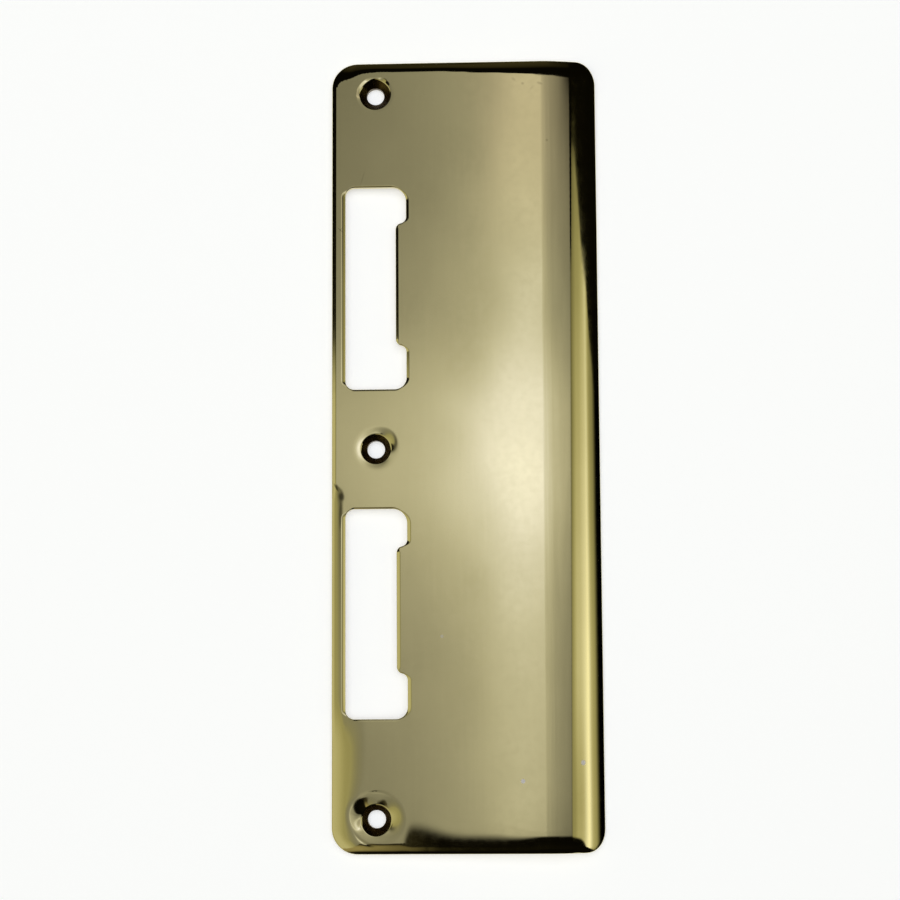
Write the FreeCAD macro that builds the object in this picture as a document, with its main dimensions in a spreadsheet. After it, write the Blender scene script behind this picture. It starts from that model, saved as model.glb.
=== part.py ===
import FreeCAD, Part
import math
import os

import Sketcher
from FreeCAD import Placement, Rotation, Vector

# Pressed door strike plate, made from one sheet, lying face up.
# Origin: where the axis of the middle screw hole meets the plane of the back, which lies against the door
# frame. X runs from the holed edge to the lip, Y along the plate, Z out of the show face.

DIMENSIONS = [
    ("plate_length", 203, "end to end, along Y"),
    ("sheet_thickness", 1.6, "the sheet's gauge"),
    ("corner_radius", 6.5, "the blank's four corners"),
    ("rim_radius", 1.3, "rolled edge of the show face"),
    ("hole_edge_offset", 11.25, "hole line to the plain long edge"),
    ("flat_reach", 42.9, "hole line to the start of the first bend"),
    ("crease_radius", 12, "outer radius of the first bend"),
    ("slope_angle", 12, "turn of the first bend, in degrees"),
    ("slope_length", 4.8, "straight run between bend and curl"),
    ("curl_radius", 15.7, "outer radius of the lip's curl"),
    ("lip_angle", 45, "slope of the lip at its end, in degrees"),
    ("opening_count", 2, "bolt openings in the row"),
    ("opening_hole_gap", 15.35, "middle hole to the near end of each opening"),
    ("opening_length", 52.8, "each bolt opening, along Y"),
    ("opening_left", 7.75, "hole line to the openings' straight side"),
    ("opening_narrow", 5.2, "hole line to the narrow part's side"),
    ("opening_wide", 7.9, "hole line to the wide ends' side"),
    ("upper_end_length", 9.5, "opening's top to the middle of its step"),
    ("lower_end_length", 11.3, "opening's bottom to the middle of its step"),
    ("step_radius", 1.7, "both arcs of each step"),
    ("opening_left_radius", 2.3, "opening corners on the straight side"),
    ("opening_right_radius", 3, "opening corners on the stepped side"),
    ("opening_rim_radius", 0.7, "rolled edge of the openings"),
    ("hole_count", 3, "screw holes in the line, evenly spaced"),
    ("hole_end_gap", 8.6, "outermost screw holes to the plate's ends"),
    ("hole_radius", 2.25, "through hole for a No. 8 screw"),
    ("hole_land", 1, "straight wall of each screw hole"),
    ("countersink_radius", 4, "rim of the conical seat"),
    ("countersink_angle", 45, "seat cone, axis to wall, in degrees"),
    ("shoulder_radius", 2, "show face to seat cone"),
    ("boss_foot_radius", 0.8, "back face to boss"),
]

# Worked out from the dimensions, in the same names.
HOLE_SPAN = "[plate_length] - 2 * [hole_end_gap]"
OPENING_SPAN = "([opening_length] + 2 * [opening_hole_gap]) * ([opening_count] - 1)"
SEAT_DROP = "[shoulder_radius] * (1 - sin([countersink_angle]))"
CONE_DEPTH = "([countersink_radius] - [hole_radius]) / tan([countersink_angle])"
BOSS_HEIGHT = f"{SEAT_DROP} + {CONE_DEPTH} + [hole_land] - [sheet_thickness]"
BOSS_FOOT = (
    f"[countersink_radius] + ({SEAT_DROP} - [sheet_thickness]) * tan([countersink_angle])"
    " + [sheet_thickness] / cos([countersink_angle])"
)
TIP_X = (
    "[flat_reach] + [crease_radius] * sin([slope_angle]) + [slope_length] * cos([slope_angle])"
    " + [curl_radius] * (sin([lip_angle]) - sin([slope_angle]))"
)
TIP_Z = (
    "[sheet_thickness] - [crease_radius] * (1 - cos([slope_angle])) - [slope_length] * sin([slope_angle])"
    " - [curl_radius] * (cos([slope_angle]) - cos([lip_angle]))"
)

# The sketcher's numbers for the points of an edge, and for its own axes and origin.
START, END, CENTRE = range(1, 4)
X_AXIS, Y_AXIS = range(-1, -3, -1)
ORIGIN_POINT = (X_AXIS, START)

# How far up a normal points on the show face, at the least, and on a wall or the lip's end, at the most.
SHOW_FACING, WALL_FACING = 0.2, 0.05
SAME_LENGTH = 0.001
LEAST_CHANGE = 0.001


def make_sheet(doc):
    """The driving dimensions, one a row: name, value, meaning."""
    sheet = doc.addObject("Spreadsheet::Sheet", "Dimensions")
    for row, (alias, value, meaning) in enumerate(DIMENSIONS, start=1):
        sheet.set(f"A{row}", alias)
        sheet.set(f"B{row}", str(value))
        sheet.setAlias(f"B{row}", alias)
        sheet.set(f"C{row}", meaning)
    doc.recompute()
    return sheet


def in_sheet(expression, sheet):
    """The expression with each [dimension] turned into that dimension's cell."""
    for alias, _, _ in DIMENSIONS:
        expression = expression.replace(f"[{alias}]", f"{sheet.Name}.{alias}")
    return expression


def value_of(expression, sheet):
    return float(sheet.evalExpression(in_sheet(expression, sheet)))


def plane(body, role):
    """One of the body's own origin planes or axes."""
    return next(f for f in body.Origin.OriginFeatures if f.Role == role)


def add_sketch(body, name, role):
    sketch = body.newObject("Sketcher::SketchObject", name)
    sketch.AttachmentSupport = [(plane(body, role), "")]
    sketch.MapMode = "FlatFace"
    return sketch


def relate(sketch, kind, relations):
    """Add one constraint without a size for each row of arguments."""
    for relation in relations:
        sketch.addConstraint(Sketcher.Constraint(kind, *relation))


def drive(sketch, sheet, rows):
    """Add one sized constraint a row: kind, arguments, name, expression over [dimension] names."""
    for kind, args, name, expression in rows:
        value = value_of(expression, sheet)
        unit = "1 mm"
        if kind == "Angle":
            value = math.radians(value)
            unit = "1 deg"
        index = sketch.addConstraint(Sketcher.Constraint(kind, *args, value))
        sketch.renameConstraint(index, name)
        sketch.setExpression(f"Constraints.{name}", f"({in_sheet(expression, sheet)}) * {unit}")


def line(start, end):
    return Part.LineSegment(Vector(*start, 0), Vector(*end, 0))


def arc(centre, radius, start_deg, end_deg):
    circle = Part.Circle(Vector(*centre, 0), Vector(0, 0, 1), radius)
    return Part.ArcOfCircle(circle, math.radians(start_deg), math.radians(end_deg))


def polar(centre, radius, degrees):
    return (
        centre[0] + radius * math.cos(math.radians(degrees)),
        centre[1] + radius * math.sin(math.radians(degrees)),
    )


def section_sketch(body, sheet):
    """Cross-section: flat, first bend, sloped run and curled lip, all of one thickness."""
    edge, flat, gauge = -sheet.hole_edge_offset, sheet.flat_reach, sheet.sheet_thickness
    crease, curl = sheet.crease_radius, sheet.curl_radius
    slope_at, lip_at = 90 - sheet.slope_angle, 90 - sheet.lip_angle
    crease_centre = (flat, gauge - crease)
    slope_start = polar(crease_centre, crease, slope_at)
    slope_end = polar(slope_start, sheet.slope_length, slope_at - 90)
    curl_centre = polar(slope_end, -curl, slope_at)
    inner_crease, inner_curl = crease - gauge, curl - gauge

    sketch = add_sketch(body, "SectionSketch", "XZ_Plane")
    top, bend, slope, lip, tip, lip_in, slope_in, bend_in, bottom, side = range(10)
    sketch.addGeometry(
        [
            line((edge, gauge), (flat, gauge)),
            arc(crease_centre, crease, slope_at, 90),
            line(slope_start, slope_end),
            arc(curl_centre, curl, lip_at, slope_at),
            line(polar(curl_centre, curl, lip_at), polar(curl_centre, inner_curl, lip_at)),
            arc(curl_centre, inner_curl, lip_at, slope_at),
            line(polar(curl_centre, inner_curl, slope_at), polar(crease_centre, inner_crease, slope_at)),
            arc(crease_centre, inner_crease, slope_at, 90),
            line((flat, 0), (edge, 0)),
            line((edge, 0), (edge, gauge)),
        ],
        False,
    )
    relate(
        sketch,
        "Tangent",
        [
            (top, END, bend, END),
            (bend, START, slope, START),
            (slope, END, lip, END),
            (lip_in, END, slope_in, START),
            (slope_in, END, bend_in, START),
            (bend_in, END, bottom, START),
        ],
    )
    relate(
        sketch,
        "Coincident",
        [
            (lip, START, tip, START),
            (tip, END, lip_in, START),
            (bottom, END, side, START),
            (side, END, top, START),
            (bend, CENTRE, bend_in, CENTRE),
            (lip, CENTRE, lip_in, CENTRE),
        ],
    )
    relate(sketch, "PointOnObject", [(lip, CENTRE, tip), (bottom, END, X_AXIS)])
    relate(sketch, "Horizontal", [(top,), (bottom,)])
    relate(sketch, "Vertical", [(side,)])
    drive(
        sketch,
        sheet,
        [
            ("DistanceX", (top, START, *ORIGIN_POINT), "edge", "[hole_edge_offset]"),
            ("DistanceX", (*ORIGIN_POINT, top, END), "flat", "[flat_reach]"),
            ("DistanceY", (side, START, side, END), "gauge", "[sheet_thickness]"),
            ("Radius", (bend,), "crease", "[crease_radius]"),
            ("Distance", (slope,), "slope_length", "[slope_length]"),
            ("Radius", (lip,), "curl", "[curl_radius]"),
            ("Radius", (lip_in,), "inner_curl", "[curl_radius] - [sheet_thickness]"),
            ("Angle", (slope, END, top, END), "slope_turn", "[slope_angle]"),
            ("Angle", (bottom, START, tip, START), "lip_turn", "90 - [lip_angle]"),
        ],
    )
    return sketch


def plain_corner_sketch(body, sheet):
    """The waste at the upper plain corner: a square less a quarter disc."""
    radius, top, edge = sheet.corner_radius, sheet.plate_length / 2, -sheet.hole_edge_offset
    sketch = add_sketch(body, "PlainCornerSketch", "XY_Plane")
    rounding, across, down = range(3)
    sketch.addGeometry(
        [
            arc((edge + radius, top - radius), radius, 90, 180),
            line((edge + radius, top), (edge, top)),
            line((edge, top), (edge, top - radius)),
        ],
        False,
    )
    relate(sketch, "Tangent", [(rounding, START, across, START), (down, END, rounding, END)])
    relate(sketch, "Coincident", [(across, END, down, START)])
    relate(sketch, "Horizontal", [(across,)])
    relate(sketch, "Vertical", [(down,)])
    drive(
        sketch,
        sheet,
        [
            ("Radius", (rounding,), "corner", "[corner_radius]"),
            ("DistanceX", (across, END, *ORIGIN_POINT), "edge", "[hole_edge_offset]"),
            ("DistanceY", (*ORIGIN_POINT, across, END), "half_length", "[plate_length] / 2"),
        ],
    )
    return sketch


def lip_corner_sketch(body, sheet):
    """The waste at the upper lip corner, on a plane through the lip's end, square to the sheet there."""
    radius, top = sheet.corner_radius, sheet.plate_length / 2
    sketch = add_sketch(body, "LipCornerSketch", "XY_Plane")
    sketch.AttachmentOffset = Placement(Vector(), Rotation(Vector(0, 1, 0), 1))
    for path, expression, unit in [
        (".AttachmentOffset.Base.x", TIP_X, "1 mm"),
        (".AttachmentOffset.Base.z", TIP_Z, "1 mm"),
        (".AttachmentOffset.Rotation.Angle", "[lip_angle]", "1 deg"),
    ]:
        sketch.setExpression(path, f"({in_sheet(expression, sheet)}) * {unit}")
    rounding, across, down = range(3)
    sketch.addGeometry(
        [
            arc((-radius, top - radius), radius, 0, 90),
            line((-radius, top), (0, top)),
            line((0, top), (0, top - radius)),
        ],
        False,
    )
    relate(sketch, "Tangent", [(rounding, END, across, START), (down, END, rounding, START)])
    relate(sketch, "Coincident", [(across, END, down, START)])
    relate(sketch, "Horizontal", [(across,)])
    relate(sketch, "Vertical", [(down,)])
    relate(sketch, "PointOnObject", [(across, END, Y_AXIS)])
    drive(
        sketch,
        sheet,
        [
            ("Radius", (rounding,), "corner", "[corner_radius]"),
            ("DistanceY", (*ORIGIN_POINT, across, END), "half_length", "[plate_length] / 2"),
        ],
    )
    return sketch


def opening_sketch(body, sheet):
    """The upper bolt opening: straight on the left, stepped in between its wide ends on the right."""
    left, narrow, wide = -sheet.opening_left, sheet.opening_narrow, sheet.opening_wide
    bottom = sheet.opening_hole_gap
    top = bottom + sheet.opening_length
    soft, firm, step = sheet.opening_right_radius, sheet.opening_left_radius, sheet.step_radius
    upper_step, lower_step = top - sheet.upper_end_length, bottom + sheet.lower_end_length
    turn = math.degrees(math.acos(1 - (wide - narrow) / (2 * step)))
    rise = step * math.sin(math.radians(turn))

    sketch = add_sketch(body, "OpeningSketch", "XY_Plane")
    (
        left_side,
        left_top,
        top_side,
        right_top,
        upper_wide,
        upper_out,
        upper_in,
        narrow_side,
        lower_in,
        lower_out,
        lower_wide,
        right_bottom,
        bottom_side,
        left_bottom,
    ) = range(14)
    sketch.addGeometry(
        [
            line((left, bottom + firm), (left, top - firm)),
            arc((left + firm, top - firm), firm, 90, 180),
            line((left + firm, top), (wide - soft, top)),
            arc((wide - soft, top - soft), soft, 0, 90),
            line((wide, top - soft), (wide, upper_step + rise)),
            arc((wide - step, upper_step + rise), step, -turn, 0),
            arc((narrow + step, upper_step - rise), step, 180 - turn, 180),
            line((narrow, upper_step - rise), (narrow, lower_step + rise)),
            arc((narrow + step, lower_step + rise), step, 180, 180 + turn),
            arc((wide - step, lower_step - rise), step, 0, turn),
            line((wide, lower_step - rise), (wide, bottom + soft)),
            arc((wide - soft, bottom + soft), soft, -90, 0),
            line((wide - soft, bottom), (left + firm, bottom)),
            arc((left + firm, bottom + firm), firm, 180, 270),
        ],
        False,
    )
    relate(
        sketch,
        "Tangent",
        [
            (left_side, END, left_top, END),
            (left_top, START, top_side, START),
            (top_side, END, right_top, END),
            (right_top, START, upper_wide, START),
            (upper_wide, END, upper_out, END),
            (upper_out, START, upper_in, START),
            (upper_in, END, narrow_side, START),
            (narrow_side, END, lower_in, START),
            (lower_in, END, lower_out, END),
            (lower_out, START, lower_wide, START),
            (lower_wide, END, right_bottom, END),
            (right_bottom, START, bottom_side, START),
            (bottom_side, END, left_bottom, END),
            (left_bottom, START, left_side, START),
        ],
    )
    relate(sketch, "Vertical", [(left_side,), (upper_wide,), (narrow_side,), (lower_wide,)])
    relate(sketch, "Horizontal", [(top_side,), (bottom_side,)])
    relate(sketch, "Equal", [(left_top, left_bottom), (right_top, right_bottom)])
    relate(sketch, "Equal", [(upper_out, upper_in), (upper_out, lower_in), (upper_out, lower_out)])
    top_edge = "[opening_hole_gap] + [opening_length]"
    upper_middle = f"{top_edge} - [upper_end_length]"
    lower_middle = "[opening_hole_gap] + [lower_end_length]"
    drive(
        sketch,
        sheet,
        [
            ("Radius", (left_top,), "left_corner", "[opening_left_radius]"),
            ("Radius", (right_top,), "right_corner", "[opening_right_radius]"),
            ("Radius", (upper_out,), "step", "[step_radius]"),
            ("DistanceX", (left_side, START, *ORIGIN_POINT), "left", "[opening_left]"),
            ("DistanceX", (*ORIGIN_POINT, narrow_side, START), "narrow", "[opening_narrow]"),
            ("DistanceX", (*ORIGIN_POINT, upper_wide, START), "wide", "[opening_wide]"),
            ("DistanceX", (*ORIGIN_POINT, lower_wide, START), "lower_wide", "[opening_wide]"),
            ("DistanceY", (*ORIGIN_POINT, bottom_side, START), "bottom", "[opening_hole_gap]"),
            ("DistanceY", (*ORIGIN_POINT, top_side, START), "top", top_edge),
            ("DistanceY", (*ORIGIN_POINT, upper_in, START), "upper_step", upper_middle),
            ("DistanceY", (*ORIGIN_POINT, lower_in, END), "lower_step", lower_middle),
        ],
    )
    return sketch


def move_to_top_hole(sketch, sheet):
    """Moves a sketch from the XZ plane, whose normal is -Y, to the top hole of the line."""
    sketch.AttachmentOffset = Placement(Vector(0, 0, -1), Rotation())
    sketch.setExpression(".AttachmentOffset.Base.z", in_sheet(f"-({HOLE_SPAN}) / 2 * 1 mm", sheet))


def boss_sketch(body, sheet):
    """Half section of the boss that the pressed screw seat raises on the back."""
    foot, height = value_of(BOSS_FOOT, sheet), value_of(BOSS_HEIGHT, sheet)
    nose = foot - height * math.tan(math.radians(sheet.countersink_angle))
    sketch = add_sketch(body, "BossSketch", "XZ_Plane")
    move_to_top_hole(sketch, sheet)
    base, flank, end, axis = range(4)
    sketch.addGeometry(
        [
            line((0, 0), (foot, 0)),
            line((foot, 0), (nose, -height)),
            line((nose, -height), (0, -height)),
            line((0, -height), (0, 0)),
        ],
        False,
    )
    relate(
        sketch,
        "Coincident",
        [
            (base, END, flank, START),
            (flank, END, end, START),
            (end, END, axis, START),
            (axis, END, base, START),
            (base, START, *ORIGIN_POINT),
        ],
    )
    relate(sketch, "Horizontal", [(base,), (end,)])
    relate(sketch, "Vertical", [(axis,)])
    drive(
        sketch,
        sheet,
        [
            ("DistanceX", (base, START, base, END), "foot", BOSS_FOOT),
            ("DistanceY", (axis, START, axis, END), "height", BOSS_HEIGHT),
            ("Angle", (base, END, flank, START), "flank", "90 - [countersink_angle]"),
        ],
    )
    return sketch


def seat_sketch(body, sheet):
    """Half section of what the screw seat leaves open: shoulder, cone and hole."""
    face, rim, hole = sheet.sheet_thickness, sheet.countersink_radius, sheet.hole_radius
    shoulder, angle = sheet.shoulder_radius, sheet.countersink_angle
    rim_z = face - value_of(SEAT_DROP, sheet)
    hole_z = rim_z - value_of(CONE_DEPTH, sheet)
    bottom = hole_z - sheet.hole_land
    mouth = rim + shoulder * math.cos(math.radians(angle))

    sketch = add_sketch(body, "SeatSketch", "XZ_Plane")
    move_to_top_hole(sketch, sheet)
    top, rounding, cone, wall, end, axis = range(6)
    sketch.addGeometry(
        [
            line((0, face), (mouth, face)),
            arc((mouth, face - shoulder), shoulder, 90, 180 - angle),
            line((rim, rim_z), (hole, hole_z)),
            line((hole, hole_z), (hole, bottom)),
            line((hole, bottom), (0, bottom)),
            line((0, bottom), (0, face)),
        ],
        False,
    )
    relate(sketch, "Tangent", [(top, END, rounding, START), (rounding, END, cone, START)])
    relate(
        sketch,
        "Coincident",
        [
            (cone, END, wall, START),
            (wall, END, end, START),
            (end, END, axis, START),
            (axis, END, top, START),
        ],
    )
    relate(sketch, "Horizontal", [(top,), (end,)])
    relate(sketch, "Vertical", [(wall,), (axis,)])
    relate(sketch, "PointOnObject", [(axis, END, Y_AXIS)])
    drive(
        sketch,
        sheet,
        [
            ("DistanceY", (*ORIGIN_POINT, axis, END), "face", "[sheet_thickness]"),
            ("Radius", (rounding,), "shoulder", "[shoulder_radius]"),
            ("DistanceX", (*ORIGIN_POINT, cone, START), "rim", "[countersink_radius]"),
            ("DistanceX", (*ORIGIN_POINT, wall, START), "hole", "[hole_radius]"),
            ("DistanceY", (wall, END, wall, START), "land", "[hole_land]"),
            ("Angle", (wall, START, cone, END), "half_angle", "180 - [countersink_angle]"),
        ],
    )
    return sketch


def cut_through(body, name, sketch):
    pocket = body.newObject("PartDesign::Pocket", name)
    pocket.Profile = sketch
    pocket.Type = "ThroughAll"
    pocket.SideType = "Symmetric"
    return pocket


def turned(body, kind, name, sketch):
    feature = body.newObject(f"PartDesign::{kind}", name)
    feature.Profile = sketch
    feature.ReferenceAxis = (sketch, ["V_Axis"])
    feature.Angle = 360
    return feature


def row_down(body, sheet, name, originals, count, length):
    """Repeats the features down the plate, towards -Y; count and length are expressions."""
    row = body.newObject("PartDesign::LinearPattern", name)
    row.Originals = originals
    row.Direction = (plane(body, "Y_Axis"), [""])
    row.Reversed = True
    row.setExpression("Length", f"({in_sheet(length, sheet)}) * 1 mm")
    row.setExpression("Occurrences", in_sheet(count, sheet))
    body.Tip = row
    return row


def volume_after(doc, body, label, before=None):
    """Recompute and report the body's volume; a step that changes nothing is an error."""
    doc.recompute()
    volume = body.Shape.Volume
    print(f"{label}: {volume:.1f} mm3, {len(body.Shape.Solids)} solid(s), valid {body.Shape.isValid()}")
    if before is not None and abs(volume - before) < LEAST_CHANGE:
        raise RuntimeError(f"{label} changed nothing")
    return volume


def facing(face, point):
    """The Z part of the face's outward normal at a point on it: 1 up, 0 sideways, -1 down."""
    return face.normalAt(*face.Surface.parameter(point)).z


def sharp_rim(shape):
    """Names of the edges where the show face still meets a wall or the lip's end at a sharp corner."""
    names = []
    for number, edge in enumerate(shape.Edges, start=1):
        point = edge.valueAt((edge.FirstParameter + edge.LastParameter) / 2)
        sides = [facing(face, point) for face in shape.ancestorsOfType(edge, Part.Face)]
        if max(sides) > SHOW_FACING and min(sides) < WALL_FACING:
            names.append(f"Edge{number}")
    return names


def boss_feet(shape, foot):
    """Names of the circles where the bosses leave the back."""
    return [
        f"Edge{number}"
        for number, edge in enumerate(shape.Edges, start=1)
        if isinstance(edge.Curve, Part.Circle)
        and abs(edge.Curve.Radius - foot) < SAME_LENGTH
        and abs(edge.Curve.Center.z) < SAME_LENGTH
    ]


def rounded(body, sheet, name, base, edges, radius):
    fillet = body.newObject("PartDesign::Fillet", name)
    fillet.Base = (base, edges)
    fillet.setExpression("Radius", in_sheet(f"[{radius}] * 1 mm", sheet))
    return fillet


def check(doc):
    """Stop if any object of the document failed or has no valid shape."""
    for item in doc.Objects:
        if {"Invalid", "Error"} & set(item.State):
            raise RuntimeError(f"{item.Name} failed: {item.State}")
        if item.isDerivedFrom("PartDesign::Feature") and (item.Shape.isNull() or not item.Shape.isValid()):
            raise RuntimeError(f"{item.Name} has no valid shape")


def main():
    doc = FreeCAD.newDocument("StrikePlate")
    sheet = make_sheet(doc)
    body = doc.addObject("PartDesign::Body", "Plate")
    body.Label = "strike_plate"

    blank = body.newObject("PartDesign::Pad", "FoldedSheet")
    blank.Profile = section_sketch(body, sheet)
    blank.SideType = "Symmetric"
    blank.setExpression("Length", in_sheet("[plate_length] * 1 mm", sheet))
    volume = volume_after(doc, body, "folded sheet")

    plain_corner = cut_through(body, "PlainCorner", plain_corner_sketch(body, sheet))
    volume = volume_after(doc, body, "plain corner", volume)
    lip_corner = cut_through(body, "LipCorner", lip_corner_sketch(body, sheet))
    volume = volume_after(doc, body, "lip corner", volume)
    lower_corners = body.newObject("PartDesign::Mirrored", "LowerCorners")
    lower_corners.Originals = [plain_corner, lip_corner]
    lower_corners.MirrorPlane = (plane(body, "XZ_Plane"), [""])
    body.Tip = lower_corners
    volume = volume_after(doc, body, "lower corners", volume)
    rounded(body, sheet, "Rim", lower_corners, sharp_rim(lower_corners.Shape), "rim_radius")
    volume = volume_after(doc, body, "rim", volume)

    opening = cut_through(body, "BoltOpening", opening_sketch(body, sheet))
    volume = volume_after(doc, body, "bolt opening", volume)
    openings = row_down(body, sheet, "BoltOpenings", [opening], "[opening_count]", OPENING_SPAN)
    volume = volume_after(doc, body, "bolt openings", volume)
    rounded(body, sheet, "OpeningRims", openings, sharp_rim(openings.Shape), "opening_rim_radius")
    volume = volume_after(doc, body, "opening rims", volume)

    boss = turned(body, "Revolution", "SeatBoss", boss_sketch(body, sheet))
    volume = volume_after(doc, body, "seat boss", volume)
    seat = turned(body, "Groove", "ScrewSeat", seat_sketch(body, sheet))
    volume = volume_after(doc, body, "screw seat", volume)
    seats = row_down(body, sheet, "ScrewSeats", [boss, seat], "[hole_count]", HOLE_SPAN)
    volume = volume_after(doc, body, "screw seats", volume)
    feet = boss_feet(seats.Shape, value_of(BOSS_FOOT, sheet))
    rounded(body, sheet, "BossFeet", seats, feet, "boss_foot_radius")
    volume_after(doc, body, "boss feet", volume)

    body.Placement = Placement()
    doc.recompute()
    check(doc)
    os.makedirs("parts", exist_ok=True)
    body.Shape.exportStep(f"parts/{body.Label}.step")
    print(body.Shape.BoundBox)


main()
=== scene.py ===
import math

import bpy
import numpy as np
from mathutils import Matrix, Vector
from mathutils.geometry import delaunay_2d_cdt


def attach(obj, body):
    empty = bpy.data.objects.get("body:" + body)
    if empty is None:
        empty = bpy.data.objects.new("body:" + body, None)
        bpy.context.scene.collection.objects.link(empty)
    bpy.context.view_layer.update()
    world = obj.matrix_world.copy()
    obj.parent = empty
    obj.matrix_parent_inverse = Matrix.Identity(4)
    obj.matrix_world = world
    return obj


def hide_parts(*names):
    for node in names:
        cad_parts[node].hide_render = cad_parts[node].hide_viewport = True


# Pressed and polished brass strike plate on a pale floor. Lengths are in millimetres until the mesh is made.
# The sheet is laid out flat as (s, y): s runs across it, along the bends, and y along the plate.

MM = 0.001

# Section across the plate. Both bends run a little askew: where they start changes along the plate. The slope
# reaches its angles at the end of the crease, of the sloped run, of the knee and of the curl.
THICKNESS = 1.6
LEFT_EDGE = -11.25
HALF_LENGTH = 101.5
CREASE_START = 42.6
CREASE_SKEW = 0.004
CREASE_WIDTH = 2.6
KNEE_START = 49.5
KNEE_SKEW = 0.0105
KNEE_WIDTH = 0.5
SLOPE_ANGLES = [math.radians(a) for a in (8.3, 11.8, 16.5, 42.4)]
SHEET_END = 58.55
LIP_TIP = 57.38

# Outline and openings.
PLAIN_CORNER = 6.5
LIP_CORNER = 5.8
OPENING_LEFT = -7.75
OPENING_NARROW = 5.2
OPENING_WIDE = 7.9
OPENING_BOTTOMS = (15.35, -68.15)
OPENING_LENGTH = 52.8
UPPER_END = 9.5
LOWER_END = 11.3
STEP_RADIUS = 1.7
LEFT_CORNER = 2.3
RIGHT_CORNER = 3.0
UPPER_RIGHT_CORNER = 3.7

# Screw seats: the hole, its rounded edges, and the boss that stands out of the back.
HOLE_RADIUS = 2.25
SEAT_BOTTOM = -1.736
CONE_FILLET = 0.2
HOLE_FILLET = 0.15
BOSS_FOOT = 5.58
BOSS_FOOT_RADIUS = 0.8
BOSS_SIDE = 2.0
BOSS_RIM_RADIUS = 0.3
BOSS_RIM = BOSS_FOOT - (BOSS_FOOT_RADIUS + BOSS_SIDE + BOSS_RIM_RADIUS) * math.sqrt(0.5)
SEAT_ANGLES = 160

# Edges, the most that the show face may lie below the plain folded sheet, and the farthest that an edge acts.
RIM_RADIUS = 0.35
OPENING_RIM = 0.25
BACK_BEVEL = 0.25
DEEPEST = 1.0
FAR = 50

# Mesh: distances from an edge of the rings that model its roll, and of the finer points beyond them.
OUTLINE_RINGS = [1.4, 1.2, 1.0, 0.82, 0.66, 0.51, 0.37, 0.24, 0.12]
OPENING_RINGS = [1.2, 1.1, 1.0, 0.91, 0.82, 0.66, 0.51, 0.37, 0.24, 0.12]
SEAT_RINGS = [2.2, 1.9, 1.6, 1.3, 1.05, 0.8, 0.6, 0.4, 0.2]
BEYOND_OUTLINE = [0.25, 0.5, 0.8, 1.1, 1.4, 1.8, 2.2]
BEYOND_SEATS = [0.25, 0.5, 0.8, 1.1, 1.5]

# Mesh: spacing of the points on the edges, the show face, its bends, the dents and the back.
LOOP_STEP = 0.8
FRONT_STEP = 0.8
BEND_STEP = 0.25
BEND_ROW_STEP = 0.9
BEND_FIELD = 42.0
DENT_STEP = 0.2
BACK_STEP = 2.2
BACK_BEND_STEP = 0.8

# Mesh: how far the points of each part stay from the outermost rings.
FINER_GAP = 0.12
FRONT_GAP = 0.45
BEND_GAP = 0.15
BACK_GAP = 0.7
BACK_BEND_GAP = 0.5

# The plate's materials, in the order of its slots.
POLISHED, BACK, SEAT = range(3)

# Dishes round the screw holes: place along the plate, radius of the seat's mouth and of its rounded shoulder,
# depth and radius of the dish, how fast it deepens, and how it swells towards some angles, as (angle, width
# in degrees, more depth, more radius). The mouth swells in the same way, as (angle, width, more radius).
DISHES = [
    {
        "y": 92.9,
        "mouth": 4.1,
        "mouth_swells": [(94, 20, 0.4), (172, 13, 0.2), (15, 30, 0.12)],
        "shoulder": 0.45,
        "depth": 0.01,
        "radius": 4.85,
        "bowl": 1.2,
        "swells": [(150, 32, 0.15, 0.0), (60, 15, 0.19, 0.1)],
    },
    {
        "y": 0.0,
        "mouth": 3.95,
        "mouth_swells": [(-3, 9, 0.12)],
        "shoulder": 0.45,
        "depth": 0.07,
        "radius": 6.0,
        "bowl": 2.0,
        "swells": [(45, 36, 0.28, 0.6), (-22, 30, -0.05, 0.0), (-90, 40, 0.01, 0.0)],
    },
    {
        "y": -92.9,
        "mouth": 3.85,
        "mouth_swells": [(-108, 50, 0.4)],
        "shoulder": 0.45,
        "depth": 0.08,
        "radius": 7.4,
        "bowl": 2.0,
        "swells": [(151, 36, 0.58, 0.9), (15, 46, 0.42, 0.1)],
    },
]

# Grooves round the lower screw hole: angle, width in degrees, radius, depth.
GROOVES = [(92, 24, 6.8, 0.03), (240, 24, 6.4, 0.035)]
GROOVES_AT = DISHES[2]["y"]
GROOVE_WIDTH = 0.32

# How far inside the mouth of its seat a dish is at its deepest.
DISH_OVERLAP = 0.25

# Slow waves of the pressed sheet: height, wave numbers across and along, phase.
WAVES = [
    (0.006, 0.05, 0.075, 0.4),
    (0.004, -0.11, 0.12, 1.9),
    (0.0022, 0.21, -0.10, 3.1),
    (0.0012, 0.37, 0.22, 5.0),
]

# The floor's own glow, its reach and its gap to the plate, and the lamp's power, size and place. The power is
# in watts and every length is in metres.
FLOOR_GLOW = 0.48
FLOOR_REACH = 12.0
FLOOR_GAP = 0.00002
LAMP_POWER = 9.0
LAMP_SIZE = 1.4
LAMP_PLACE = (0.05, 0.1, 1.3)

# Camera: its turns about X, Y and Z in degrees, its place in its own axes, measured from the show face over
# the middle hole, and its lens.
CAMERA_TURNS = (-6.89, -2.31, 0.37)
CAMERA_PLACE = (18.92, -0.28, 484.8)
CAMERA_LENS = 76.19

# Specks of dust: place (x, y, z), size and how well they cover.
DUST = [
    (36.6, -83.6, 1.6, 0.55, 0.8),
    (51.7, -79.2, -0.2, 0.65, 0.75),
    (16.6, -47.6, 1.6, 0.45, 0.25),
]

# Dents: place (s, y), radii along and across, direction in degrees, depth.
DENTS = [
    ((-8.9, -11.9), (1.6, 0.8), -75, 0.012),
    ((-4.1, -92.9), (1.4, 1.9), 0, 0.17),
]

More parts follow.
